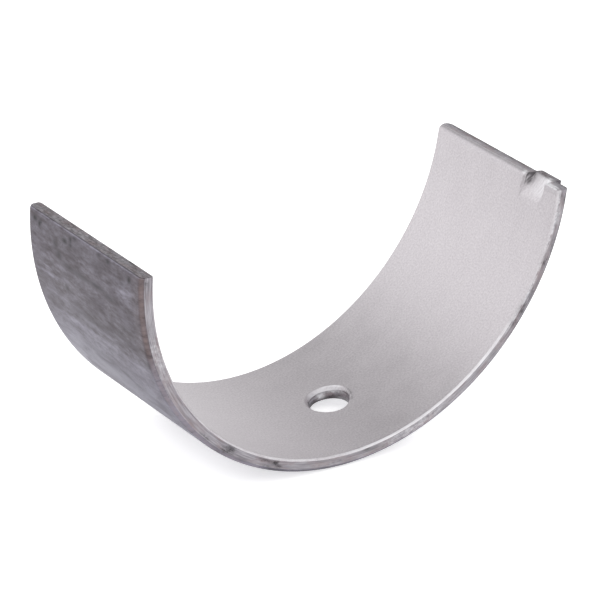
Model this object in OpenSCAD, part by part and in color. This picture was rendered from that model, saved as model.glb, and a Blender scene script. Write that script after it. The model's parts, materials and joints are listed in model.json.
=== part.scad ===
// Half bearing shell for the big end of an engine's connecting rod.
// A steel-backed strip is pressed round into half a ring, with a lined bore for the journal.
// The shell is drawn free, as it lies on a bench: opened a little wider than its housing.
// The bearing axis is the Y axis, the crown is at the bottom and the tang is at the +X end.

/* [Shell] */
// Diameter of the housing that holds the shell
housing_d = 51; // [44:0.5:60]
// Spring-open of the free shell: its diameter is this much more than the housing's
free_spread = 0.65; // [0:0.05:1.2]
// Thickness of the wall, steel back and lining together
wall_t = 1.5; // [1.3:0.1:2.2]
// Width of the shell along the journal
shell_w = 19.6; // [15:0.2:28]

/* [Edges] */
// Chamfer between the bore and each side face
bore_chamfer = 0.2; // [0.1:0.05:0.5]
// Chamfer between the back and each side face
back_chamfer = 0.4; // [0.1:0.05:0.5]
// Chamfer between the bore and each joint face
joint_break = 0.3; // [0.1:0.05:0.5]

/* [Locating tang] */
// Width of the tang and of the recess behind it
tang_w = 3; // [2:0.1:5]
// Distance from the side face to the tang
tang_inset = 2.2; // [1:0.1:6]
// Height of the tang above the back
tang_h = 0.75; // [0.5:0.05:1.4]
// Thickness of the tang at its top
tang_t = 1; // [0.8:0.05:1.3]
// Distance from the joint face down to the top of the tang
tang_drop = 0.05; // [0.05:0.05:0.5]
// Length of the tang's outer face before it slopes to the back
tang_land = 0.8; // [0.4:0.1:1.4]
// Distance from the joint face down to where the tang runs out on the back
tang_len = 3.2; // [2.6:0.1:4.5]
// Distance from the joint face down to where the recess runs out in the bore
recess_len = 2.3; // [1.6:0.1:3.2]

/* [Oil hole] */
// Diameter of the oil hole
hole_d = 4.2; // [3:0.1:7]
// Angle of the oil hole from the crown towards the tang
hole_angle = 13; // [0:1:40]
// Countersink of the oil hole at the bore
hole_sink = 0.35; // [0.1:0.05:0.6]
// Edge break of the oil hole at the back
hole_break = 0.05; // [0.05:0.05:0.3]

/* [Hidden] */
$fn = 180;

// How far a cutting shape runs past the surface that it cuts
past = 1;

// Radius of the free shell's back and bore
back_r = (housing_d + free_spread) / 2;
bore_r = back_r - wall_t;

// The back is as long as half the housing's round, so each opened end falls short of a half circle
end_angle = 90 * (1 - housing_d / (2 * back_r));

// The middle of the tang along the journal, and the depth that pushing it out leaves in the bore
tang_y = tang_inset + (tang_w - shell_w) / 2;
recess_depth = wall_t + tang_h - tang_t;

// Distance from the axis of a point on a circle, at a depth below the joint face
function across(r, depth) = sqrt(r * r - depth * depth);

// Puts a shape that is drawn on a level joint face onto the joint face at the tang's end
module at_joint() {
    rotate([0, end_angle, 0])
        children();
}

// Draws an outline in the plane across the bearing axis, and gives it a width along the axis
module across_axis(width) {
    rotate([90, 0, 0])
        linear_extrude(height = width, center = true)
            children();
}

// The wall's section, with a chamfer at each corner
module wall_section() {
    half_w = shell_w / 2;
    polygon([
        [bore_r, bore_chamfer - half_w],
        [bore_r + bore_chamfer, -half_w],
        [back_r - back_chamfer, -half_w],
        [back_r, back_chamfer - half_w],
        [back_r, half_w - back_chamfer],
        [back_r - back_chamfer, half_w],
        [bore_r + bore_chamfer, half_w],
        [bore_r, half_w - bore_chamfer]
    ]);
}

// The wall, turned about the bearing axis from one joint face to the other
module wall() {
    rotate([90, 0, 0])
        rotate_extrude(start = 180 + end_angle, angle = 180 - 2 * end_angle)
            wall_section();
}

// The metal that is pushed out of the wall at one end, to key the shell in its housing
module tang() {
    mid_r = back_r - wall_t / 2;
    at_joint()
        translate([0, tang_y, 0])
            across_axis(tang_w)
                polygon([
                    [bore_r + recess_depth, -tang_drop],
                    [back_r + tang_h, -tang_drop],
                    [back_r + tang_h, -tang_drop - tang_land],
                    [across(back_r, tang_len), -tang_len],
                    [across(mid_r, tang_len), -tang_len]
                ]);
}

// The sloping hollow that the tang leaves in the bore, open at the joint face
module tang_recess() {
    at_joint()
        translate([0, tang_y, 0])
            across_axis(tang_w)
                polygon([
                    [bore_r + recess_depth, -tang_drop],
                    [across(bore_r, recess_len), -recess_len],
                    [bore_r - past, -recess_len],
                    [bore_r - past, past],
                    [back_r + tang_h + past, past],
                    [back_r + tang_h + past, -tang_drop]
                ]);
}

// A drilled hole through the wall, countersunk at the bore and broken at the back
module oil_hole() {
    hole_r = hole_d / 2;
    rotate([0, -hole_angle, 0]) {
        translate([0, 0, -back_r - past])
            cylinder(h = wall_t + 2 * past, r = hole_r);
        translate([0, 0, -bore_r - hole_sink])
            cylinder(h = hole_sink + past, r1 = hole_r, r2 = hole_r + hole_sink + past);
        translate([0, 0, -back_r - past])
            cylinder(h = hole_break + past, r1 = hole_r + hole_break + past, r2 = hole_r);
    }
}

// The chamfer along the bore's edge at both joint faces
module joint_breaks() {
    side = joint_break * sqrt(2);
    for (end = [0, 1])
        mirror([end, 0, 0])
            at_joint()
                translate([bore_r, 0, 0])
                    rotate([0, 45, 0])
                        cube([side, shell_w + 2 * past, side], center = true);
}

module bearing_shell() {
    color("#b9b6ba")
        difference() {
            union() {
                wall();
                tang();
            }
            tang_recess();
            joint_breaks();
            oil_hole();
        }
}

bearing_shell();
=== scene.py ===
"""Half bearing shell for the big end of an engine's connecting rod, on a white studio floor.

The shell is one lined steel strip. It is worked out flat, as the strip is before it is bent:
s runs along the strip from the tang's end, y runs across it, and d runs through the wall from
the lining to the back. The tang is then pushed out of it, and the whole strip is bent round.
"""

import json
import math

import bpy
import numpy as np
from bpy.props import FloatProperty, FloatVectorProperty, PointerProperty
from mathutils import Matrix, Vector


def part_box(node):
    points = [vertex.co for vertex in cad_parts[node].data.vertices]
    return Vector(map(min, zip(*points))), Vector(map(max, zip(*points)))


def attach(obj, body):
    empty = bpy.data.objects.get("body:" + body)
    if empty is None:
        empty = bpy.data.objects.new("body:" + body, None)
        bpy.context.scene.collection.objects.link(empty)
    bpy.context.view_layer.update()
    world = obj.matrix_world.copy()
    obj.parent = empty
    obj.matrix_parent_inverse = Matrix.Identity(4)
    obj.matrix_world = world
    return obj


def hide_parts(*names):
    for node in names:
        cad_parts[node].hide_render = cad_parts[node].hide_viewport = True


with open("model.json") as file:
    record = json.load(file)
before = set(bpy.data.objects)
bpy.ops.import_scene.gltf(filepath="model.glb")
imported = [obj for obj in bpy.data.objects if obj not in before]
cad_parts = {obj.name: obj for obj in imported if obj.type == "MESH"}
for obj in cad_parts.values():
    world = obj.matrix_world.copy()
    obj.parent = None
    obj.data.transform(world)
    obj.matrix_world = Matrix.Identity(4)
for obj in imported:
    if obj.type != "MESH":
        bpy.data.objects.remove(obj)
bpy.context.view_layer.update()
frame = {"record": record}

bl_info = {
    "name": "Engine Bearing Shell",
    "version": (1, 0, 0),
    "blender": (4, 5, 0),
    "location": "View3D > Sidebar > Bearing Shell",
    "description": "Builds a half bearing shell of lined steel strip and a white studio floor",
    "category": "Add Mesh",
}

MM = 0.001
NODE = "bearing_shell"
MOUNTS = {mount["name"]: mount for mount in frame["record"]["mounts"]}
BOX_LOW, BOX_HIGH = (np.array(corner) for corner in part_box(NODE))

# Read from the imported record: the two radii, the joint faces' slope, the tang and the oil hole
BORE_R = MOUNTS["journal_bore"]["dims"]["r_mm"] * MM
BACK_R = MOUNTS["housing_back"]["dims"]["r_mm"] * MM
WALL = BACK_R - BORE_R
HALF_W = (BOX_HIGH[1] - BOX_LOW[1]) / 2
END_SLOPE = math.atan2(*(MOUNTS["joint_face_tang_end"]["axis"][i] for i in (0, 2)))
STRIP_LEN = (math.pi - 2 * END_SLOPE) * BORE_R
TANG_POS = np.array(MOUNTS["locating_tang"]["pos_m"])
TANG_TOP = TANG_POS[0] * math.cos(END_SLOPE) - TANG_POS[2] * math.sin(END_SLOPE) - BACK_R
HOLE_R = MOUNTS["oil_hole"]["dims"]["r_mm"] * MM
HOLE_AXIS = MOUNTS["oil_hole"]["axis"]
HOLE_TURN = math.atan2(-HOLE_AXIS[2], HOLE_AXIS[0])
HOLE_S = (HOLE_TURN - END_SLOPE) * BORE_R

LINING, STEEL_BACK, CUT_EDGE = range(3)

# Marks of use in mm. Each row is a soft spot: its place along the strip and across it (or through
# the wall), its half-length and half-width in the same order, and its strength
BACK_DIRT = (
    (74.65, 8.4, 0.3, 0.4, 1.0), (74.35, 7.6, 0.34, 0.26, 1.0), (74.7, 7.4, 0.34, 0.24, 0.8),
    (74.3, 3.2, 0.28, 0.5, 1.0), (74.8, 2.2, 0.34, 0.28, 0.95), (74.2, 2.2, 0.28, 0.3, 0.8),
    (75.1, 1.5, 0.22, 0.4, 0.8), (75.1, -2.7, 0.22, 0.4, 0.7), (75.1, -4.2, 0.22, 0.45, 0.8),
    (74.65, -7.8, 0.28, 0.28, 1.0), (73.8, -6.6, 0.22, 0.4, 0.6), (69.3, 3.5, 0.34, 0.34, 0.8),
    (73.4, 4.8, 0.6, 0.45, 0.6), (72.5, 4.3, 0.55, 0.5, 0.65), (71.8, 2.7, 0.36, 1.3, 0.55),
    (71.75, 0.2, 0.36, 1.5, 0.55), (71.8, -2.2, 0.32, 1.4, 0.62), (71.5, -4.2, 0.32, 0.8, 0.5),
    (74.2, 2.0, 1.0, 9.0, 0.12), (67.2, 0.5, 0.8, 5.0, 0.2), (62.7, 1.0, 0.4, 2.8, 0.34),
    (62.0, -2.7, 0.4, 1.3, 0.44), (61.0, -4.5, 0.4, 1.3, 0.44), (69.0, -6.2, 0.2, 0.3, 0.6),
    (68.2, -5.4, 0.2, 0.3, 0.5), (60.5, 1.0, 1.8, 6.0, 0.14), (66.4, -9.2, 0.4, 0.3, 0.5),
    (53.0, -9.5, 0.9, 0.5, 0.6), (3.0, 4.0, 1.2, 2.0, 0.4), (1.2, 1.0, 0.5, 0.6, 0.7),
    (21.0, -3.0, 1.5, 3.0, 0.25), (40.0, 5.5, 2.0, 1.5, 0.25))
BACK_SCUFFS = (
    (69.6, 6.3, 0.2, 1.5, 0.6), (70.3, 6.8, 0.2, 1.0, 0.4), (65.25, 2.0, 0.4, 5.5, 0.6),
    (66.6, -1.5, 0.25, 2.4, 0.4), (67.6, 4.5, 0.25, 2.6, 0.35), (72.9, -6.8, 0.9, 1.2, 0.4),
    (64.9, -6.6, 1.2, 2.2, 0.4), (46.0, 1.0, 0.6, 6.0, 0.4),
    (30.0, -1.0, 0.5, 5.0, 0.4), (12.0, 2.0, 0.5, 4.0, 0.4))
SIDE_CHIPS = (
    (52.0, 0.65, 0.6, 0.42, 1.1), (52.6, 1.05, 0.55, 0.32, 0.9), (51.5, 0.8, 0.35, 0.24, 0.8),
    (53.5, 1.2, 0.9, 0.16, 0.8), (50.0, 1.15, 1.0, 0.16, 0.7), (47.2, 0.43, 0.8, 0.15, 0.85),
    (46.0, 0.5, 0.4, 0.22, 1.2), (45.55, 0.8, 0.32, 0.24, 1.2), (46.8, 1.0, 0.7, 0.13, 0.8),
    (33.7, 0.55, 0.85, 0.27, 0.75), (34.6, 0.42, 0.5, 0.17, 0.8), (32.8, 0.74, 0.5, 0.18, 0.7),
    (17.9, 0.72, 0.55, 0.36, 0.75), (14.2, 0.65, 0.38, 0.45, 0.9), (12.8, 0.65, 0.85, 0.48, 0.75),
    (10.9, 0.75, 0.9, 0.3, 0.5), (7.5, 0.6, 0.7, 0.36, 0.7), (5.8, 0.85, 0.8, 0.3, 0.5),
    (1.1, 1.05, 0.6, 0.22, 0.65), (0.5, 0.55, 0.25, 0.2, 0.7), (25.2, 0.8, 0.8, 0.25, 0.25),
    (55.7, 0.95, 0.7, 0.2, 0.6), (74.9, 0.9, 0.35, 0.25, 0.5), (66.0, 1.0, 1.2, 0.12, 0.5),
    (40.0, 0.45, 1.2, 0.12, 0.5))
SIDE_SCUFFS = (
    (67.0, 0.7, 3.0, 0.6, 0.2), (39.0, 0.6, 2.0, 0.6, 0.1), (29.0, 0.65, 5.0, 0.6, 0.24),
    (18.0, 0.65, 1.5, 0.5, 0.12), (2.6, 0.6, 1.4, 0.6, 0.2))
# On the plain joint face a row starts with the places across the strip and through the wall
JOINT_DIRT = (
    (-6.4, 0.1, 1.0, 0.35, 1.0), (-4.2, 0.8, 0.6, 0.2, 0.5), (3.6, 0.2, 1.2, 0.25, 0.6),
    (8.2, 0.9, 0.8, 0.5, 0.3), (0.5, 0.1, 4.0, 0.12, 0.4))
# The half-width of a spot that runs across the whole strip
ALL_ACROSS = 99

# How far chips sink into a side face. A plane takes CORNER_CUT off the far corner at the tang's
# end and runs out by these slopes along the strip and through the wall
CHIP_DEPTH = 0.09 * MM
CORNER_CUT, CORNER_ALONG, CORNER_THROUGH = 0.29 * MM, 0.2, 0.33

# The tang's sides: the width of a sheared edge, the lip that the lining pulls down at the far
# side, how far the lining is dragged sideways, and the easing where the floor meets the bore
TANG_SHEAR = 0.04 * MM
TANG_LIP = 0.24 * MM
TANG_DRAG = 0.52 * MM
TANG_EASE = 0.1 * MM

# The mesh: half the square patch that the hole's rings replace, the room left beside rounded edges
# and rolled ends, the longest step round a side, the points on a rounded edge, the outlines of a
# rolled end, the rings on the hole's wall, and the repeats that find where its cone ends
PATCH = 3.4 * MM
EDGE_ROOM, ROLL_ROOM = 0.06 * MM, 0.12 * MM
SIDE_STEP = 0.13 * MM
ROUND_POINTS, ROLL_ROWS, WALL_RINGS, RIM_REPEATS = 5, 7, 6, 12

# The stage. The paper glows a little, so that it is white to the camera: less close to the shell,
# which keeps the shadow under it short, and less again in reflections
FLOOR_HALF = 1.5
GLOW_CLOSE, GLOW_OPEN, GLOW_MIRRORED = 0.53, 0.66, 0.33
GLOW_REACH = 2.8 * MM
# The darkest part of the ceiling is nearly overhead, a little behind the shell. It spreads
# between these two cosines of the angle from there
CEILING_DARKEST = (0.0885, 0.2432, 0.9659)
CEILING_SPREAD = (0.65, 0.97)
# The camera, fitted to the shell's outline in the photograph
CAMERA_LENS, CAMERA_SENSOR = 226.333, 36
CAMERA_CLIP = (0.01, 20)
CAMERA_PLACE = (
    (0.80558, 0.17882, -0.56485, -0.210692),
    (-0.58671, 0.37353, -0.7185, -0.268819),
    (0.08251, 0.91022, 0.40582, 0.140052),
    (0, 0, 0, 1))


def linear(code):
    """Linear RGBA of an sRGB hex colour such as #8c8a90."""
    srgb = np.array([int(code[i:i + 2], 16) for i in (1, 3, 5)]) / 255
    light = np.where(srgb <= 0.04045, srgb / 12.92, ((srgb + 0.055) / 1.055) ** 2.4)
    return (*light.tolist(), 1.0)


def length(name, description, millimetres):
    """A length that the user can change, kept in metres."""
    return FloatProperty(
        name=name, description=description, default=millimetres * MM, unit="LENGTH", precision=5)


def colour(name, description, code):
    """A colour that the user can change."""
    return FloatVectorProperty(
        name=name, description=description, default=linear(code), size=4, min=0, max=1,
        subtype="COLOR")


class ShellSizes(bpy.types.PropertyGroup):
    """Sizes of the shell's details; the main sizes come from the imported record."""
    bore_chamfer: length("Bore chamfer", "Between the lining and each side face", 0.2)
    back_chamfer: length("Back chamfer", "Between the back and each side face", 0.4)
    joint_round: length("Plain joint edge", "Roll of the lining into the plain joint face", 0.14)
    joint_back_round: length("Plain joint back", "Roll of the back into the plain joint face", 0.22)
    tang_joint_round: length("Tang joint edge", "Roll of the lining at the tang's end", 0.48)
    edge_round: length("Edge rounding", "Rounding that handling leaves on cut edges", 0.06)
    back_edge_round: length("Back edge rounding", "Rounding of the back chamfer's edges", 0.24)
    tang_w: length("Tang width", "Width of the tang and of its recess", 3.0)
    tang_t: length("Tang thickness", "Thickness of the tang at its top", 1.0)
    tang_drop: length("Tang drop", "From the joint face down to the top of the tang", 0.05)
    tang_land: length("Tang land", "Length of the tang's outer face", 0.8)
    tang_len: length("Tang length", "From the joint face to where the tang runs out", 3.2)
    recess_len: length("Recess length", "From the joint face to where the recess runs out", 2.3)
    hole_sink: length("Hole countersink", "Countersink of the oil hole in the lining", 0.35)
    hole_break: length("Hole edge", "Worn edge of the oil hole at the back", 0.15)


class ShellColours(bpy.types.PropertyGroup):
    """Colours of the metals, of the dirt on them, and of the painted shade and highlights."""
    lining: colour("Lining", "Bored aluminium-tin lining", "#dad6d9")
    lining_low: colour("Lining grain", "Darker grain of the lining", "#c2bdc1")
    # Also paints the highlights on the chamfers, in the tang's recess and in the oil hole
    fresh_cut_and_highlight: colour("Fresh cut", "Bare metal of chamfers and burrs", "#f3f2f5")
    steel_back: colour("Steel back", "Rolled mild steel of the back", "#898694")
    # Also paints the highlight on the back's rounding at the plain joint face
    steel_pale_and_highlight: colour("Steel scuffs", "Scuffs and mottling of the back", "#a8a5b3")
    steel_stained: colour("Stained steel", "Back where oil has stained it", "#5d575c")
    cut_edge: colour("Cut edge", "Faced steel of the side and joint faces", "#b4b0b6")
    cut_low: colour("Cut edge lines", "Tool lines in the cut edge", "#88848a")
    cut_warm: colour("Cut edge tint", "Warm tint of old oil on the cut edge", "#9e8f91")
    rust: colour("Rust", "Rust along the back's edge", "#8a766f")
    # Also paints the shade in the tang's recess and in the oil hole, and the shadow along the
    # back's near edge at the crown
    grime_and_shade: colour("Grime", "Dried oil and dirt", "#3f3d3f")


class StageSettings(bpy.types.PropertyGroup):
    """The floor's colour and the lights of the studio."""
    floor: colour("Floor", "White paper under the shell", "#f4f4f4")
    surround: FloatProperty(
        name="Surround", description="Light from the white walls round the stage", default=1.1,
        min=0)
    ceiling: FloatProperty(
        name="Ceiling", description="Light from the open ceiling", default=0.325, min=0)
    box_power: FloatProperty(
        name="Softbox power", description="Power of the soft light at the left", default=1.0,
        min=0, unit="POWER")
    box_size: length("Softbox size", "Width of the soft light", 1200.0)
    box_place: FloatVectorProperty(
        name="Softbox place", description="Middle of the soft light", size=3,
        default=(-0.706, 0.329, 0.45), subtype="TRANSLATION", unit="LENGTH")


def spaced(stops, steps):
    """Lines through all stops, each stretch split evenly into parts no longer than its step."""
    counts = [max(1, math.ceil((b - a) / step - 1e-6))
              for a, b, step in zip(stops[:-1], stops[1:], steps)]
    parts = [np.linspace(a, b, n, endpoint=False)
             for a, b, n in zip(stops[:-1], stops[1:], counts)]
    return np.append(np.concatenate(parts), stops[-1])


def eased(x, low, high):
    """0 up to low, 1 from high, and the cubic 3t^2 - 2t^3 of the way between them."""
    t = np.clip((x - low) / (high - low), 0, 1)
    return t * t * (3 - 2 * t)


def fading(x, low, high):
    """1 up to low, 0 from high, and eased between them."""
    return 1 - eased(x, low, high)


def band(x, low, full, fall, high):
    """0 up to low, 1 from full to fall and 0 again from high, and eased between them."""
    return eased(x, low, full) * fading(x, fall, high)


def spots(table, a, b):
    """The strongest spot at each place, where a spot is its strength times
    exp(-(da / half-length)^2 - (db / half-width)^2)."""
    rows = np.array(table)
    place, half = rows[:, :2] * MM, rows[:, 2:4] * MM
    off = (np.stack([a, b], axis=1)[:, None] - place) / half
    return (rows[:, 4] * np.exp(-(off ** 2).sum(axis=2))).max(axis=1)


def rounded(points, cut, count):
    """A path whose inner corners become parabolas that leave each side at that corner's cut:
    corner + cut * ((1 - t)^2 towards the last point + t^2 towards the next)."""
    corner = points[1:-1]
    before, after = points[:-2] - corner, points[2:] - corner
    before /= np.linalg.norm(before, axis=1, keepdims=True)
    after /= np.linalg.norm(after, axis=1, keepdims=True)
    t = np.linspace(0, 1, count)[:, None]
    arcs = corner[:, None] + cut * ((1 - t) ** 2 * before[:, None] + t ** 2 * after[:, None])
    return np.concatenate([points[:1], arcs.reshape(-1, 2), points[-1:]])


def refined(path, step):
    """The same path with more points, so that no two are further apart than the step."""
    run = np.append(0, np.cumsum(np.linalg.norm(np.diff(path, axis=0), axis=1)))
    fine = spaced(run, [step] * (len(run) - 1))
    return np.stack([np.interp(fine, run, path[:, i]) for i in (0, 1)], axis=1)


def side_profile(sizes, inner):
    """Half the wall's outline at one side, as (y, d): from the lining at y = inner over the bore
    chamfer, the side face and the back chamfer to the back at the same y."""
    path = np.array([
        [inner, 0],
        [HALF_W - sizes.bore_chamfer, 0],
        [HALF_W, sizes.bore_chamfer],
        [HALF_W, WALL - sizes.back_chamfer],
        [HALF_W - sizes.back_chamfer, WALL],
        [inner, WALL],
    ])
    cuts = np.array([sizes.edge_round] * 2 + [sizes.back_edge_round] * 2)[:, None, None]
    return refined(rounded(path, cuts, ROUND_POINTS), SIDE_STEP)[1:-1]


def bruised(s, y, d):
    """The strip after handling. Chips sink into one side face by their depth times their spots,
    and a plane cuts the corner between the lining, the other side face and the tang's joint
    face."""
    face = eased(-y, HALF_W - 0.45 * MM, HALF_W - 0.1 * MM)
    y = y + CHIP_DEPTH * face * spots(SIDE_CHIPS, s, d)
    return s, np.minimum(y, HALF_W - CORNER_CUT + CORNER_THROUGH * d + CORNER_ALONG * s), d


def tang_sides(sizes):
    """The tang's two sides across the strip: the one near the side face, and the far one."""
    return TANG_POS[1] - sizes.tang_w / 2, TANG_POS[1] + sizes.tang_w / 2


def tang_lean(s):
    """How far the tang's far side leans over: nothing at the joint face, and all further down."""
    return eased(s, 0.3 * MM, 1.5 * MM) * MM


def pushed_tang(sizes, s, y, d):
    """The strip after the tang is lanced and pushed out at its end. Inside the tang's width the
    end drops a little, the lining sinks to a floor that slopes up to the bore, and the back is
    raised to a land that slopes down to it. The wall between takes up both in proportion. The
    near side is sheared. The far side is sheared at the top, leans over further down and pulls
    a lip of lining after it, and the lining is dragged towards the far side as it sinks."""
    near, far = tang_sides(sizes)
    lean = tang_lean(s)
    past_near = eased(y, near - TANG_SHEAR, near + TANG_SHEAR)
    inside = past_near * fading(y, far - TANG_SHEAR - 0.4 * lean, far + TANG_SHEAR + 0.1 * lean)
    lip = TANG_LIP * past_near * fading(y, far - TANG_SHEAR, far + 0.38 * MM)
    lip = lip * fading(s, 1.3 * MM, sizes.recess_len)
    drag = TANG_DRAG * band(y, near - 1.2 * MM, near, far, far + 2.2 * MM)
    drag = drag * band(s, 0.7 * MM, 2.9 * MM, 2.9 * MM, 4.6 * MM)
    through = np.clip(d / WALL, 0, 1)

    s = s + inside * sizes.tang_drop * np.clip(1 - s / sizes.tang_len, 0, 1)
    depth = WALL + TANG_TOP - sizes.tang_t
    slope = depth * (sizes.recess_len - s) / (sizes.recess_len - sizes.tang_drop)
    floor = (slope + np.sqrt(slope ** 2 + TANG_EASE ** 2)) / 2 * fading(s, 2.6 * MM, 3.4 * MM)
    start = sizes.tang_drop + sizes.tang_land
    rise = np.clip(TANG_TOP * (sizes.tang_len - s) / (sizes.tang_len - start), 0, TANG_TOP)
    d = d + (1 - through) * np.maximum(floor * inside, lip) + through * rise * inside
    return s, y + drag * (1 - through), d


def bent(s, y, d):
    """The strip bent round the journal: s becomes the angle from the tang's joint face down
    round the crown, and d the distance outwards from the bore."""
    turn = END_SLOPE + s / BORE_R
    r = BORE_R + d
    return np.stack([r * np.cos(turn), y, -r * np.sin(turn)], axis=-1)


def tang_shade_and_highlights(sizes, s, y, d):
    """Painted shade and painted highlights on and round the tang, each from 0 to 1: painted shade
    on the torn far side, under its lip, in the crease and in a thin line beside the near side; the
    tang's end face darker, and the joint face beside it darker towards the back; painted highlights
    on the recess's floor, at spots along its edges and on the rolled edge beside the near side, and
    the joint face beyond the far side lighter towards the lining."""
    near, far = tang_sides(sizes)
    near_mm, far_mm = near / MM, far / MM
    lined = fading(d, 0.3 * WALL, 0.5 * WALL)
    end = fading(s, 0, 0.1 * MM)
    lean = tang_lean(s)
    half = 0.05 * MM + 0.2 * lean
    # Painted shade: the torn far side, the lining under its lip, the crease and a thin line beside
    # the near side are darkened
    torn_and_shaded = fading(abs(y - far + 0.15 * lean), half, half + 0.04 * MM)
    torn_and_shaded = torn_and_shaded * fading(s, 0.6 * MM, 1.6 * MM)
    lip = (y > far) * fading(y, far + 0.2 * MM, far + 0.45 * MM) * fading(s, 1.0 * MM, 1.8 * MM)
    beside = (y < near) * band(s, 0.25 * MM, 0.4 * MM, 0.5 * MM, 0.7 * MM)
    crease = ((1.9, far_mm - 0.05, 0.7, 0.1, 0.3),)
    recess = np.max([0.8 * torn_and_shaded, 0.16 * lip, 0.18 * beside, spots(crease, s, y)], axis=0)
    # The tang's end face is made darker, and the joint face beside it darker towards the back
    joint = np.where((y > near) & (y < far), 0.42, 0.4 * eased(d, 0.7 * MM, 1.4 * MM))
    dirt_and_shade = np.maximum(lined * recess, end * joint)

    # Painted highlight on the recess's floor, fading towards the far side
    floor = band(y, near, near + 0.1 * MM, far - 0.45 * MM, far - 0.1 * MM)
    floor = floor * band(s, 0, 0.1 * MM, 1.2 * MM, 2.4 * MM)
    floor = floor * (1 - 0.7 * eased(y, near + 0.8 * MM, far))
    # Painted highlights: a spot by the near edge, two spots at the top and a thin line along the
    # far side
    highlights = ((0.45, near_mm + 0.15, 0.35, 0.1, 0.7), (0.08, far_mm + 0.4, 0.14, 0.2, 1.0),
               (0.12, near_mm + 0.75, 0.15, 0.34, 1.0), (0.6, far_mm, 0.3, 0.012, 0.7))
    # Painted highlight along the rolled edge beside the near side
    rolled = (y < near) * (y > 0.35 * MM - HALF_W)
    rolled = rolled * spots(((0.02, 0, 0.06, ALL_ACROSS, 0.8),), s, y)
    recess = np.max([0.42 * floor, spots(highlights, s, y), rolled], axis=0)
    # The joint face beyond the far side made lighter towards the lining
    joint = 0.1 * (y > far) * fading(d, 0.35 * MM, 1.2 * MM)
    return dirt_and_shade, np.maximum(lined * recess, end * joint)


def hole_shade_and_highlights(sizes, s, y, d):
    """Painted shade and painted highlights in the oil hole, each from 0 to 1: painted shade deep in
    its wall, at one end of it and on one side of the countersink; a painted highlight in a crescent
    on the countersink's far side, with a darker ring through it, and painted glints on the wall
    under it."""
    radius, phi = np.hypot(s - HOLE_S, y), np.arctan2(y, s - HOLE_S)
    sink, middle = sizes.hole_sink, HOLE_S / MM

    def towards(degrees, low, high):
        """How nearly a place lies in one direction from the hole, eased from the cosine."""
        return eased(np.cos(phi - math.radians(degrees)), low, high)

    wall = (radius < HOLE_R + 0.05 * MM) * eased(d, 0.6 * sink, sink)
    cone = fading(radius, HOLE_R + 0.9 * sink, HOLE_R + 1.1 * sink)
    cone = cone * fading(d, sink + 0.04 * MM, sink + 0.14 * MM)
    # Painted shade: darker deeper in the wall and towards one end of it, and a soft painted shadow
    # on one side of the countersink
    deep = 0.05 + 0.85 * eased(d, 0.5 * WALL, 0.9 * WALL)
    dirt_and_shade = np.maximum(wall * np.maximum(deep, 0.6 * towards(15, 0.75, 0.97)),
                      0.3 * cone * towards(190, 0.6, 0.95))

    # Painted highlight: a crescent on the countersink's far side, with a darker ring through it,
    # and painted glints on the wall
    crescent = cone * (d > 0.01 * MM) * towards(106, 0.35, 0.8)
    crescent = crescent * (1 - 0.45 * np.exp(-((radius - HOLE_R) / sink / 0.3 - 1.7) ** 2))
    glints = ((middle - 0.36, 0.78, 0.42, 0.34, 1.0), (middle - 1.45, 0.5, 0.7, 0.16, 0.7))
    return dirt_and_shade, np.maximum(0.9 * crescent, wall * (y > 0) * spots(glints, s, d))


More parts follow.
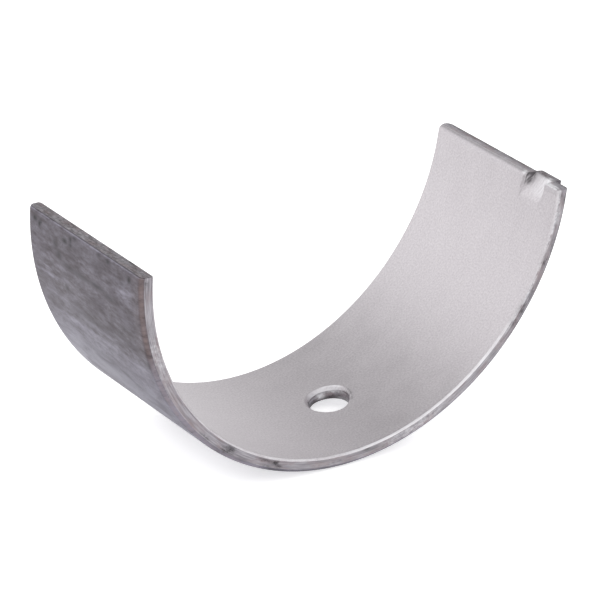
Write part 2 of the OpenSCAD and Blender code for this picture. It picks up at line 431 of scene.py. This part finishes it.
def wear(sizes, s, y, d):
    """Dirt and painted shade, bare metal and painted highlights, and rust at each place of the
    strip, each from 0 to 1. The near side face is chipped; its edge with the lining is bare metal
    with a painted highlight that changes along the strip, and is partly drawn over; its edge with
    the back has a painted contact shadow at the crown, is worn beyond it and rusty at the plain
    end. The back's rounding at the plain joint face is painted lighter against its shade."""
    on_back = eased(d, 0.68 * WALL, 0.8 * WALL)
    rim = HALF_W - abs(y)
    near_side = y < 0
    on_face = near_side * fading(rim, 0.1 * MM, 0.4 * MM)
    plain_joint = eased(s, STRIP_LEN - 0.05 * MM, STRIP_LEN)
    joint_dirt = plain_joint * np.maximum(0.33, spots(JOINT_DIRT, y, d))
    # Painted light: the back's rounding at the plain joint face gets less of this and a painted
    # highlight on the back next to it, which offset the shade on that rounding
    joint_dirt = joint_dirt * (1 - 0.65 * eased(d, 0.8 * WALL, 0.95 * WALL))
    joint_roll_highlight = spots(((STRIP_LEN / MM - 0.05, 0, 0.05, ALL_ACROSS, 1.0),), s, y)
    joint_roll_highlight = joint_roll_highlight * on_back * (1 - plain_joint)
    back_edge = on_back * near_side
    # Painted contact shadow along the back's near edge at the crown, where the shell sits on the
    # floor
    crown_shadow = back_edge * fading(rim, 0.25 * MM, 0.5 * MM)
    crown_shadow = crown_shadow * band(s, 33 * MM, 39 * MM, 45.5 * MM, 48.5 * MM)
    worn_edge = back_edge * fading(rim, 0.3 * MM, 0.5 * MM)
    worn_edge = worn_edge * band(s, 46 * MM, 49 * MM, 65.5 * MM, 67.5 * MM)
    rusty_edge = back_edge * eased(s, 65.5 * MM, 68 * MM)
    edge_lines = spots(((0.04, 0, 0.07, 9, 0.2), (0.42, 0, 0.08, 9, 0.2)), rim, 0 * y)
    tang_shade, tang_highlight = tang_shade_and_highlights(sizes, s, y, d)
    hole_shade, hole_highlight = hole_shade_and_highlights(sizes, s, y, d)
    # Dirt and painted shade together: the back's dirt, the chips, the tang's and the hole's painted
    # shade, the plain joint face, the painted shadow at the crown and dark lines along the back
    # chamfer's edges at the plain end
    dirt_and_shade = np.max([
        on_back * spots(BACK_DIRT, s, y), 0.72 * on_face * spots(SIDE_CHIPS, s, d), tang_shade,
        hole_shade, joint_dirt, 0.5 * crown_shadow, rusty_edge * edge_lines], axis=0)

    # The bore chamfer is bare metal with a painted highlight: strongest from 19 to 34 mm along the
    # strip, weaker from there to about 70 mm and near the tang's end, and faint elsewhere
    chamfer = fading(np.maximum(rim, d) - sizes.bore_chamfer, -0.02 * MM, 0.03 * MM)
    mid_highlight = 0.06 + 0.7 * band(s, 12 * MM, 19 * MM, 34 * MM, 42 * MM)
    left = 0.34 * band(s, 36 * MM, 42 * MM, 62 * MM, 70 * MM)
    corner = 0.15 * fading(s, 1.5 * MM, 3 * MM)
    drawn = on_face * band(d, 0.16 * MM, 0.24 * MM, 0.36 * MM, 0.48 * MM)
    drawn = drawn * fading(s, 14 * MM, 18 * MM)
    # Bare metal and painted highlights together: the chamfer's painted highlight, the lining drawn
    # over the side face, the tang's and the hole's painted highlights, scuffs, the worn back edge
    # and the painted highlight on the plain joint's rounding
    bare_and_highlight = np.max([
        chamfer * np.max([mid_highlight, left, corner], axis=0), 0.34 * drawn, tang_highlight, hole_highlight,
        on_back * spots(BACK_SCUFFS, s, y), on_face * spots(SIDE_SCUFFS, s, d),
        0.4 * worn_edge, 0.45 * joint_roll_highlight], axis=0)

    rust = 0.32 * fading(rim, 0.3 * MM, 0.6 * MM) + 0.1 * fading(rim, 0.4 * MM, 2 * MM)
    rust = rust * rusty_edge + 0.25 * worn_edge
    return np.stack([dirt_and_shade * (1 - 0.8 * bare_and_highlight), bare_and_highlight, rust])


def hole_rings(sizes, mouth, back_mouth):
    """Rings (s, y, d) that run from a square patch of the lining into the oil hole and out to
    the same patch of the back. Each ring is a mix of circle and square on the lining, a circle
    of the countersink's cone, of the hole's wall or of the edge break, or a mix on the back.
    A circle cuts the round wall where its radius meets the cone, found by repetition. The
    countersink was cut by hand: shallower towards the tang's end, steeper at the far side."""
    phi = np.arctan2(mouth[1], mouth[0] - HOLE_S)
    across, along = np.cos(phi), np.sin(phi)

    def at(radius, z):
        """A circle round the hole's axis, at the distance z from the bearing's axis."""
        a, b = radius * across, radius * along
        turn = HOLE_TURN + np.arctan2(a, z)
        return np.stack([(turn - END_SLOPE) * BORE_R, b, np.hypot(a, z) - BORE_R])

    def on(r, radius):
        """The circle where the hole's radius meets the bore or the back."""
        return at(radius, np.sqrt(r ** 2 - (radius * across) ** 2))

    def lobe(degrees):
        """The squared cosine of the angle from one direction, on that side of the hole alone."""
        return np.clip(np.cos(phi - math.radians(degrees)), 0, 1) ** 2

    steep = 1 + 0.8 * lobe(80)
    sunk = BORE_R + sizes.hole_sink * (1 - 0.75 * lobe(206)) + 0.08 * MM * lobe(80)
    broken = BACK_R - sizes.hole_break
    rim = back_rim = np.full_like(phi, HOLE_R)
    for _ in range(RIM_REPEATS):
        rim = HOLE_R + (sunk - np.sqrt(BORE_R ** 2 - (rim * across) ** 2)) / steep
        back_rim = HOLE_R - broken + np.sqrt(BACK_R ** 2 - (back_rim * across) ** 2)
    lip = 0.03 * MM
    lining_rim, outer_rim = on(BORE_R, rim + lip), on(BACK_R, back_rim + lip)
    mixes = np.array([0.84, 0.68, 0.52, 0.37, 0.23, 0.11, 0.04])[:, None, None]
    walls = np.linspace(sunk + lip, broken - lip, WALL_RINGS)
    cone = np.array([0.93, 0.5, 0.08])
    cone_r = HOLE_R + np.outer(cone, rim - HOLE_R)
    rings = [
        mixes * mouth + (1 - mixes) * lining_rim,
        lining_rim[None],
        np.stack([at(radius, sunk - steep * (radius - HOLE_R)) for radius in cone_r]),
        np.stack([at(np.full_like(phi, HOLE_R), z) for z in walls]),
        outer_rim[None],
        mixes[::-1] * back_mouth + (1 - mixes[::-1]) * outer_rim,
    ]
    zones = np.repeat([LINING, CUT_EDGE, STEEL_BACK],
                      [len(mixes) + 2 + len(cone), len(walls), len(mixes) + 1])
    return np.concatenate(rings), zones


def strip_lines(sizes, inner):
    """The places across the strip of the lines that run along it, from -inner to inner: closest
    at the tang's two sides, and with a line at each side of the hole's patch."""
    near, far = tang_sides(sizes)
    shear, soft = 0.05 * MM, 0.5 * MM
    return spaced(
        [-inner, near - 6 * shear, near - shear, near + shear, near + 6 * shear,
         far - soft, far - shear, far + shear, far + soft, -PATCH, PATCH, inner],
        np.array([0.3, 0.06, 0.017, 0.06, 0.16, 0.065, 0.017, 0.05, 0.24, 0.26, 0.3]) * MM)


def strip_steps(sizes):
    """The places along the strip of the outlines between its two rolled ends: closest at the
    tang, and with one at each end of the hole's patch."""
    plain_round = max(sizes.joint_round, sizes.joint_back_round)
    return spaced(
        [sizes.tang_joint_round + ROLL_ROOM, 4.2 * MM, HOLE_S - PATCH, HOLE_S + PATCH,
         0.87 * STRIP_LEN, STRIP_LEN - plain_round - ROLL_ROOM],
        np.array([0.11, 0.3, 0.26, 0.3, 0.18]) * MM)


def rolled_end(sizes, loop_y, loop_d, lining_round, back_round):
    """The last outlines before a joint face, drawn in along a quarter circle whose radius goes
    from lining_round at the lining to back_round at the back. Here s counts from that face."""
    quarter = np.linspace(0, math.pi / 2, ROLL_ROWS)[:, None]
    drawn = 1 - np.cos(quarter)
    roll = lining_round + (back_round - lining_round) * loop_d / WALL
    inwards = lining_round - (lining_round + back_round) * loop_d / WALL
    return np.stack([roll * (1 - np.sin(quarter)),
                     loop_y * (1 - sizes.edge_round / HALF_W * drawn),
                     loop_d + drawn * inwards])


def closed(index):
    """A grid of point numbers with its first column once more at the end."""
    return np.concatenate([index, index[:, :1]], axis=1)


def quads_of(index):
    """The quads between neighbouring rows and columns of a grid of point numbers."""
    return np.stack([index[:-1, :-1], index[1:, :-1], index[1:, 1:], index[:-1, 1:]], axis=-1)


def round_patch(i0, i1, j0, j1):
    """The rows and the columns of a grid's points once round a patch."""
    wide, tall = j1 - j0, i1 - i0
    return (np.concatenate([np.arange(i0, i1), np.full(wide, i1),
                            np.arange(i1, i0, -1), np.full(wide, i0)]),
            np.concatenate([np.full(tall, j0), np.arange(j0, j1),
                            np.full(tall, j1), np.arange(j1, j0, -1)]))


def shell_surface(sizes):
    """The whole closed surface as strip positions, quads and each quad's material.

    The wall's outline is carried along the strip as a closed loop, its last steps at each end
    drawn in along a quarter circle so that the edges are rolled. A flat grid between lining and
    back closes each joint face, and rings replace a square patch on both faces at the hole."""
    inner = HALF_W - sizes.back_chamfer - sizes.back_edge_round - EDGE_ROOM
    lines, side, steps = strip_lines(sizes, inner), side_profile(sizes, inner), strip_steps(sizes)
    count, depth = len(lines), len(side)
    loop_y = np.concatenate([lines, side[:, 0], lines[::-1], -side[::-1, 0]])
    loop_d = np.concatenate([np.zeros(count), side[:, 1], np.full(count, WALL), side[::-1, 1]])
    past_tang = eased(loop_y, *tang_sides(sizes))
    lining_round = sizes.joint_round * (1 - past_tang) + sizes.tang_joint_round * past_tang
    tang_end = rolled_end(sizes, loop_y, loop_d, lining_round, sizes.edge_round)[:, ::-1]
    plain_end = rolled_end(sizes, loop_y, loop_d, sizes.joint_round, sizes.joint_back_round)
    plain_end[0] = STRIP_LEN - plain_end[0]
    body = np.stack(np.broadcast_arrays(steps[:, None], loop_y, loop_d))
    grid = np.concatenate([tang_end, body, plain_end], axis=1)
    index = np.arange(grid[0].size).reshape(grid[0].shape)
    back_of = np.arange(2 * count + depth - 1, count + depth - 1, -1)

    mid_d = (side[1:, 1] + side[:-1, 1]) / 2
    side_zone = np.select([mid_d < sizes.bore_chamfer, mid_d < WALL - sizes.back_chamfer],
                          [LINING, CUT_EDGE], STEEL_BACK)
    side_zone = np.concatenate([[LINING], side_zone, [STEEL_BACK]])
    zone = np.concatenate([np.full(count - 1, LINING), side_zone,
                           np.full(count - 1, STEEL_BACK), side_zone[::-1]])
    quads = quads_of(closed(index))[..., [0, 3, 2, 1]]
    quad_zone = np.broadcast_to(zone, quads.shape[:2])

    i0, i1 = (ROLL_ROWS + int(np.argmin(abs(steps - HOLE_S - p))) for p in (-PATCH, PATCH))
    j0, j1 = (int(np.argmin(abs(lines - p))) for p in (-PATCH, PATCH))
    whole = np.ones(quads.shape[:2], bool)
    whole[i0:i1, j0:j1] = False
    whole[i0:i1, back_of[j1]:back_of[j0]] = False
    i, j = round_patch(i0, i1, j0, j1)
    rings, ring_zone = hole_rings(sizes, grid[:, i, j], grid[:, i, back_of[j]])
    ring_index = index.size + np.arange(len(rings) * len(i)).reshape(len(rings), -1)
    ring_index = np.concatenate([index[i, j][None], ring_index, index[i, back_of[j]][None]])
    ring_quads = quads_of(closed(ring_index))
    ring_zone = np.broadcast_to(ring_zone[:, None], ring_quads.shape[:2])

    points = [grid.reshape(3, -1), np.moveaxis(rings, 1, 0).reshape(3, -1)]
    faces = [quads[whole], ring_quads.reshape(-1, 4)]
    zones = [quad_zone[whole], ring_zone.reshape(-1)]
    through = np.linspace(0, 1, depth + 2)[None, :, None]
    for row, turned in ((0, 1), (-1, -1)):
        rim = grid[:, row]
        cap = rim[:, None, :count] * (1 - through) + rim[:, None, back_of] * through
        first = sum(p.shape[1] for p in points)
        cap_index = np.empty((depth + 2, count), int)
        cap_index[1:-1, 1:-1] = first + np.arange(depth * (count - 2)).reshape(depth, -1)
        cap_index[0], cap_index[-1] = index[row, :count], index[row, back_of]
        cap_index[1:-1, -1] = index[row, count:count + depth]
        cap_index[1:-1, 0] = index[row, :2 * count + depth - 1:-1]
        points.append(cap[:, 1:-1, 1:-1].reshape(3, -1))
        ends = quads_of(cap_index).reshape(-1, 4)
        faces.append(ends[:, ::turned])
        zones.append(np.full(len(ends), CUT_EDGE))
    used, faces = np.unique(np.concatenate(faces), return_inverse=True)
    strip = np.concatenate(points, axis=1)[:, used]
    return strip, faces.reshape(-1, 4), np.concatenate(zones)


def add_node(tree, kind, inputs=None, **settings):
    """Adds a shader node with its settings; each input gets a value, or a link from a socket."""
    node = tree.nodes.new("ShaderNode" + kind)
    for name, value in settings.items():
        setattr(node, name, value)
    for key, value in (inputs or {}).items():
        if isinstance(value, bpy.types.NodeSocket):
            tree.links.new(value, node.inputs[key])
        else:
            node.inputs[key].default_value = value
    return node


def new_material(name):
    """An empty node material, its tree and its output."""
    material = bpy.data.materials.new(name)
    material.use_nodes = True
    tree = material.node_tree
    tree.nodes.clear()
    return material, tree, add_node(tree, "OutputMaterial")


def carried(tree, name):
    """One of the two vectors that each point of the shell carries: its strip place, or its wear
    with painted shade and highlights.
    """
    return add_node(tree, "Attribute", attribute_name=name).outputs["Vector"]


def computed(tree, operation, *values, clamp=False):
    """The result of a Math operation on numbers or sockets."""
    return add_node(tree, "Math", dict(enumerate(values)), operation=operation,
                    use_clamp=clamp).outputs[0]


def ranged(tree, value, low, high, at_low=0.0, at_high=1.0, kind="LINEAR"):
    """The value carried from low and high to at_low and at_high, and held at both ends."""
    return add_node(tree, "MapRange", {0: value, 1: low, 2: high, 3: at_low, 4: at_high},
                    interpolation_type=kind).outputs[0]


def mixed(tree, amount, first, second):
    """A value that goes from the first to the second with the amount."""
    return add_node(tree, "Mix", {0: amount, 2: first, 3: second}).outputs[0]


def painted(tree, amount, under, over):
    """A colour that goes from the one under to the one over it with the amount."""
    return add_node(tree, "Mix", {0: amount, 6: under, 7: over}, data_type="RGBA").outputs[2]


def noise(tree, sizes, detail, roughness=0.5, distortion=0.0):
    """A noise on the flat strip, with grains of the given sizes in mm along s, y and d."""
    grains = [1 / (size * MM) for size in sizes]
    place = add_node(tree, "VectorMath", {0: carried(tree, "strip"), 1: grains},
                     operation="MULTIPLY").outputs[0]
    return add_node(tree, "TexNoise", {
        "Vector": place, "Scale": 1, "Detail": detail, "Roughness": roughness,
        "Distortion": distortion}).outputs[0]


def from_middle(tree):
    """The distance from the middle of the strip, which grows towards both joint faces."""
    along = add_node(tree, "SeparateXYZ", {0: carried(tree, "strip")}).outputs[0]
    return computed(tree, "ABSOLUTE", computed(tree, "SUBTRACT", along, STRIP_LEN / 2))


def broken_wear_and_light(tree, grain, ragged):
    """Dirt and painted shade, bare metal and painted highlights, and rust. A noise breaks each up
    where it is neither nothing nor all:
    part + part * (1 - part) * 4 * ragged * (noise - 0.5)."""
    jag = computed(tree, "MULTIPLY_ADD", grain, 4 * ragged, -2 * ragged)
    broken = []
    for part in add_node(tree, "SeparateXYZ", {0: carried(tree, "wear")}).outputs:
        room = computed(tree, "MULTIPLY", part, computed(tree, "SUBTRACT", 1.0, part))
        broken.append(computed(tree, "MULTIPLY_ADD", room, jag, part, clamp=True))
    return broken


def end_metal(tree, out, paint, rough, height, strength, depth):
    """Ends a metal's nodes: its colour, its roughness and a bump of the given depth."""
    bump = add_node(tree, "Bump", {"Strength": strength, "Distance": depth, "Height": height})
    shader = add_node(tree, "BsdfPrincipled", {
        "Base Color": paint, "Metallic": 1.0, "Roughness": rough, "Normal": bump.outputs[0]})
    tree.links.new(shader.outputs[0], out.inputs[0])


def lining_material(colours):
    """Aluminium-tin lining, bored: pale and matt, with a fine grain of tin, soft cloudy patches,
    faint feed lines round the bore, bare metal with a painted highlight on the chamfers, and
    painted highlights and painted shade on the oil hole's countersink and in the tang's recess."""
    material, tree, out = new_material("aluminium_tin_lining_bored")
    grain = noise(tree, (0.2, 0.2, 0.2), 3, 0.65)
    cloud = noise(tree, (5, 3, 3), 4, 0.6)
    # Real feed lines are about 0.05 mm apart, too fine to show, so they are drawn at 0.16 mm
    feed = noise(tree, (14, 0.16, 0.5), 2)
    smear = noise(tree, (1.4, 0.2, 1.4), 3, 0.6)
    shade = ranged(tree, mixed(tree, 0.3, grain, cloud), 0.36, 0.64)
    tone = painted(tree, shade, colours.lining_low, colours.lining)
    # The lining rolls over into the grey of the joint face in its last half millimetre
    fade = ranged(tree, from_middle(tree), STRIP_LEN / 2 - 0.5 * MM, STRIP_LEN / 2, 0.0, 0.22)
    rolled = painted(tree, fade, tone, colours.cut_low)
    # Dirt and painted shade are drawn in grime, bare metal and painted highlights in fresh-cut
    # metal
    dirt_and_shade, bare_and_highlight, _ = broken_wear_and_light(tree, smear, 1.6)
    torn_and_shaded = painted(tree, dirt_and_shade, rolled, colours.grime_and_shade)
    bare_and_highlit = painted(tree, bare_and_highlight, torn_and_shaded, colours.fresh_cut_and_highlight)
    rough = ranged(tree, cloud, 0.3, 0.7, 0.5, 0.6)
    end_metal(tree, out, bare_and_highlit, rough, mixed(tree, 0.35, grain, feed), 0.25, 0.01 * MM)
    return material


def back_material(colours):
    """Mild steel, rolled and bent: a mottled grey-violet semi-gloss, darker with oil stain
    towards the joint ends, with smudges, pits, pale scuffs across the strip and a line of rust, a
    painted contact shadow along the near edge at the crown, and a painted highlight on the rounding
    at the plain joint face."""
    material, tree, out = new_material("mild_steel_back_rolled")
    streak = noise(tree, (0.7, 5, 1), 4, 0.6, 0.3)
    blot = noise(tree, (2.4, 4.5, 1), 4, 0.55, 0.6)
    mottle = noise(tree, (0.38, 1.1, 1), 3, 0.6)
    # Pits of about 0.1 mm, drawn at 0.25 mm so that they show
    pit = noise(tree, (0.25, 0.3, 1), 2)
    # The stain starts about 16 mm from each joint face and is full at 7 mm, with a wavy edge
    waves = 7 * MM
    end = STRIP_LEN / 2 + waves / 2
    wavy = computed(tree, "MULTIPLY_ADD", blot, waves, from_middle(tree))
    stain = ranged(tree, wavy, end - 16 * MM, end - 7 * MM, kind="SMOOTHSTEP")
    ground = painted(tree, stain, colours.steel_back, colours.steel_stained)
    pale = ranged(tree, mixed(tree, 0.36, mottle, streak), 0.38, 0.64, 0.0, 0.42)
    mottled = painted(tree, pale, ground, colours.steel_pale_and_highlight)
    dull = ranged(tree, blot, 0.42, 0.66, 0.0, 0.4)
    dulled = painted(tree, dull, mottled, colours.steel_stained)
    pitted = painted(tree, ranged(tree, pit, 0.58, 0.74, 0.0, 0.6), dulled, colours.steel_stained)
    # Dirt and the painted shadow are drawn in grime, scuffs and the painted highlight in pale steel
    dirt_and_shade, bare_and_highlight, rust = broken_wear_and_light(tree, mottle, 1.1)
    scuffed_and_highlit = painted(tree, bare_and_highlight, pitted, colours.steel_pale_and_highlight)
    rusty = painted(tree, rust, scuffed_and_highlit, colours.rust)
    dirty_and_shaded = painted(tree, dirt_and_shade, rusty, colours.grime_and_shade)
    rough = ranged(tree, blot, 0.3, 0.7, 0.36, 0.5)
    end_metal(tree, out, dirty_and_shaded, rough, mixed(tree, 0.7, streak, mottle), 0.35, 0.02 * MM)
    return material


def edge_material(colours):
    """Mild steel, sheared and faced: mid grey with tool lines that run along the edge, a warm tint
    of old oil in places, dark chips and bright burrs, painted shade deep in the oil hole with
    painted glints on its wall, and the tang's joint face made darker at the tang and towards the
    back."""
    material, tree, out = new_material("mild_steel_edge_faced")
    lines = noise(tree, (2.6, 1.2, 0.14), 3, 0.6)
    blot = noise(tree, (2.6, 1.6, 0.8), 4, 0.65, 0.5)
    speck = noise(tree, (0.4, 0.4, 0.3), 3, 0.65)
    shade = ranged(tree, lines, 0.36, 0.64)
    tone = painted(tree, shade, colours.cut_low, colours.cut_edge)
    oily = ranged(tree, blot, 0.45, 0.7, 0.0, 0.8)
    tinted = painted(tree, oily, tone, colours.cut_warm)
    # Dirt and painted shade are drawn in grime, bare metal and painted highlights in fresh-cut
    # metal
    dirt_and_shade, bare_and_highlight, _ = broken_wear_and_light(tree, speck, 2.2)
    dirty_and_shaded = painted(tree, dirt_and_shade, tinted, colours.grime_and_shade)
    bare_and_highlit = painted(tree, bare_and_highlight, dirty_and_shaded, colours.fresh_cut_and_highlight)
    rough = ranged(tree, blot, 0.3, 0.7, 0.42, 0.6)
    end_metal(tree, out, bare_and_highlit, rough, speck, 0.4, 0.02 * MM)
    return material


def paper_material(stage):
    """White paper, matt: plain white, with a glow that burns it out to the white of the photograph
    and leaves a short soft shadow under the shell."""
    material, tree, out = new_material("white_paper_matte")
    seen = add_node(tree, "LightPath").outputs
    open_sky = add_node(tree, "AmbientOcclusion", {"Distance": GLOW_REACH}).outputs["AO"]
    glow = ranged(tree, open_sky, 0.3, 0.9, GLOW_CLOSE, GLOW_OPEN)
    direct = computed(tree, "MULTIPLY", seen["Is Camera Ray"], glow)
    lift = computed(tree, "MULTIPLY_ADD", seen["Is Glossy Ray"], GLOW_MIRRORED, direct)
    paper = add_node(tree, "BsdfDiffuse", {"Color": stage.floor})
    light = add_node(tree, "Emission", {"Strength": lift})
    both = add_node(tree, "AddShader", {0: paper.outputs[0], 1: light.outputs[0]})
    tree.links.new(both.outputs[0], out.inputs[0])
    return material


def studio_world(stage):
    """White walls all round that darken to the ceiling, and plain white where the camera looks."""
    world = bpy.data.worlds.new("studio")
    world.use_nodes = True
    tree = world.node_tree
    tree.nodes.clear()
    out = add_node(tree, "OutputWorld")
    sky = add_node(tree, "TexCoord").outputs["Generated"]
    overhead = add_node(tree, "VectorMath", {0: sky, 1: CEILING_DARKEST},
                        operation="DOT_PRODUCT").outputs["Value"]
    fade = ranged(tree, overhead, *CEILING_SPREAD, stage.surround, stage.ceiling, "SMOOTHSTEP")
    seen = add_node(tree, "LightPath").outputs["Is Camera Ray"]
    air = add_node(tree, "Background", {"Color": (1, 1, 1, 1),
                                        "Strength": computed(tree, "MAXIMUM", fade, seen)})
    tree.links.new(air.outputs[0], out.inputs[0])
    return world


class MESH_OT_lined_shell_add(bpy.types.Operator):
    """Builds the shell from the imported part's sizes"""
    bl_idname = "mesh.lined_shell_add"
    bl_label = "Add Bearing Shell"
    bl_options = {"REGISTER", "UNDO"}

    def execute(self, context):
        sizes, colours = context.scene.shell_sizes, context.scene.shell_colours
        strip, faces, zones = shell_surface(sizes)
        mesh = bpy.data.meshes.new("lined_shell")
        mesh.from_pydata(bent(*pushed_tang(sizes, *bruised(*strip))), [], faces.tolist())
        mesh.polygons.foreach_set("material_index", zones.astype(np.int32))
        mesh.polygons.foreach_set("use_smooth", np.ones(len(faces), bool))
        for name, values in (("strip", strip), ("wear", wear(sizes, *strip))):
            attribute = mesh.attributes.new(name, "FLOAT_VECTOR", "POINT")
            attribute.data.foreach_set("vector", values.T.astype(np.float32).ravel())
        for make in (lining_material, back_material, edge_material):
            mesh.materials.append(make(colours))
        if mesh.validate():
            raise RuntimeError("the shell's surface has faults")
        shell = bpy.data.objects.new("lined_shell", mesh)
        context.collection.objects.link(shell)
        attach(shell, "root")
        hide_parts(NODE)
        return {"FINISHED"}


class SCENE_OT_shell_stage_add(bpy.types.Operator):
    """Builds the floor, the lights and the camera"""
    bl_idname = "scene.shell_stage_add"
    bl_label = "Add Studio Stage"
    bl_options = {"REGISTER", "UNDO"}

    def execute(self, context):
        scene = context.scene
        stage = scene.shell_stage
        scene.view_settings.view_transform = "Standard"
        scene.world = studio_world(stage)

        half = FLOOR_HALF
        mesh = bpy.data.meshes.new("paper_floor")
        mesh.from_pydata([(x, y, BOX_LOW[2]) for x, y in
                          ((-half, -half), (half, -half), (half, half), (-half, half))],
                         [], [(0, 1, 2, 3)])
        mesh.materials.append(paper_material(stage))
        floor = bpy.data.objects.new("paper_floor", mesh)
        context.collection.objects.link(floor)

        box = bpy.data.lights.new("softbox", "AREA")
        box.shape, box.size, box.energy = "DISK", stage.box_size, stage.box_power
        lamp = bpy.data.objects.new("softbox", box)
        lamp.location = stage.box_place
        lamp.rotation_euler = lamp.location.to_track_quat("Z", "Y").to_euler()
        context.collection.objects.link(lamp)

        camera = bpy.data.cameras.new("camera")
        camera.lens, camera.sensor_width = CAMERA_LENS, CAMERA_SENSOR
        camera.clip_start, camera.clip_end = CAMERA_CLIP
        view = bpy.data.objects.new("camera", camera)
        view.matrix_world = Matrix(CAMERA_PLACE)
        context.collection.objects.link(view)
        scene.camera = view
        return {"FINISHED"}


class VIEW3D_PT_bearing_shell(bpy.types.Panel):
    """Lists the shell's sizes, colours and stage"""
    bl_idname = "VIEW3D_PT_bearing_shell"
    bl_label = "Bearing Shell"
    bl_space_type = "VIEW_3D"
    bl_region_type = "UI"
    bl_category = "Bearing Shell"

    def draw(self, context):
        for group in (context.scene.shell_sizes, context.scene.shell_colours,
                      context.scene.shell_stage):
            box = self.layout.box()
            for name in group.__annotations__:
                box.prop(group, name)
        self.layout.operator(MESH_OT_lined_shell_add.bl_idname)
        self.layout.operator(SCENE_OT_shell_stage_add.bl_idname)


CLASSES = (ShellSizes, ShellColours, StageSettings, MESH_OT_lined_shell_add,
           SCENE_OT_shell_stage_add, VIEW3D_PT_bearing_shell)
GROUPS = {"shell_sizes": ShellSizes, "shell_colours": ShellColours, "shell_stage": StageSettings}


def register():
    for cls in CLASSES:
        bpy.utils.register_class(cls)
    for name, group in GROUPS.items():
        setattr(bpy.types.Scene, name, PointerProperty(type=group))


def unregister():
    for name in GROUPS:
        delattr(bpy.types.Scene, name)
    for cls in reversed(CLASSES):
        bpy.utils.unregister_class(cls)


def main():
    register()
    bpy.ops.scene.shell_stage_add()
    bpy.ops.mesh.lined_shell_add()


if __name__ == "__main__":
    main()
